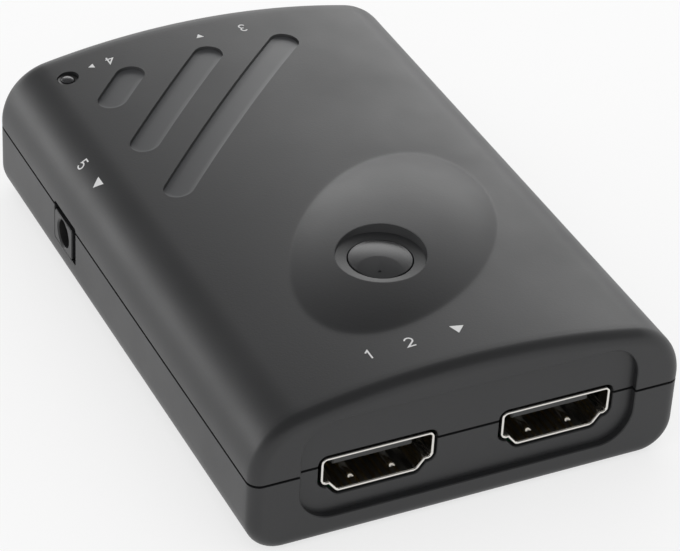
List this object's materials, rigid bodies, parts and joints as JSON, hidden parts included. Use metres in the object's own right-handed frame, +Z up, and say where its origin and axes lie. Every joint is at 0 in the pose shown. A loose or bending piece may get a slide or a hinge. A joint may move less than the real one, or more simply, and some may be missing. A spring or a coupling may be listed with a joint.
{
  "type": "video signal splitter",
  "caption": "Palm-sized video splitter box: display input socket at the back, output sockets at the front, barrel power jack, power light and an oval dome with a push button.",
  "frame": {"origin": "middle of the footprint, on the surface that the splitter stands on", "axes": "+Z up from the underside, -Y out of the two output sockets, +Y out of the input socket, -X out of the power jack"},
  "size_m": [0.0568, 0.0848, 0.0231],
  "materials": {
    "casing": "fine matt texture",
    "button": "smooth satin",
    "black_moulding": "satin",
    "clear_lamp": "clear smoky lens",
    "socket_nickel": "bright nickel plate",
    "plated_sheet": "tin plate",
    "spring_steel": "bright",
    "screw_steel": "black zinc",
    "contact_brass": "flash gold plate",
    "board_laminate": "solder mask",
    "chip_epoxy": "moulded epoxy",
    "chip_ceramic": "fired ceramic",
    "ferrite": "pressed ferrite",
    "can_aluminium": "bright drawn"
  },
  "bodies": {
    "casing": {"bottom_shell": "casing", "bulk_capacitor_bases": "black_moulding", "bulk_capacitor_cans": "can_aluminium", "case_screws": "screw_steel", "ceramic_capacitors": "chip_ceramic", "chip_resistors": "chip_epoxy", "circuit_board": "board_laminate", "clock_crystal": "plated_sheet", "dc_jack_body": "black_moulding", "dc_jack_pin": "contact_brass", "dc_jack_spring": "contact_brass", "input_contacts": "contact_brass", "input_fuse": "chip_ceramic", "input_insulator": "black_moulding", "input_shell": "socket_nickel", "line_protection_arrays": "chip_epoxy", "memory_chip": "chip_epoxy", "memory_chip_pins": "plated_sheet", "output_driver_chips": "chip_epoxy", "output_one_contacts": "contact_brass", "output_one_insulator": "black_moulding", "output_one_shell": "socket_nickel", "output_two_contacts": "contact_brass", "output_two_insulator": "black_moulding", "output_two_shell": "socket_nickel", "polarity_diode": "chip_epoxy", "power_light": "clear_lamp", "power_light_leads": "plated_sheet", "regulator_chips": "chip_epoxy", "splitter_chip": "chip_epoxy", "supply_inductors": "ferrite", "switch_cover": "plated_sheet", "switch_housing": "black_moulding", "switch_legs": "plated_sheet", "switch_snap_disc": "spring_steel", "top_shell": "casing"},
    "button": {"button_cap": "button", "switch_plunger": "black_moulding"}
  },
  "joints": [
    {"name": "button_press", "type": "slide", "parent": "casing", "child": "button", "axis": [0, 0, -1], "range_m": [0, 0.0005], "stiffness_N_per_m": 3000, "springref_m": -0.0001, "deforming": ["switch_snap_disc"]}
  ]
}
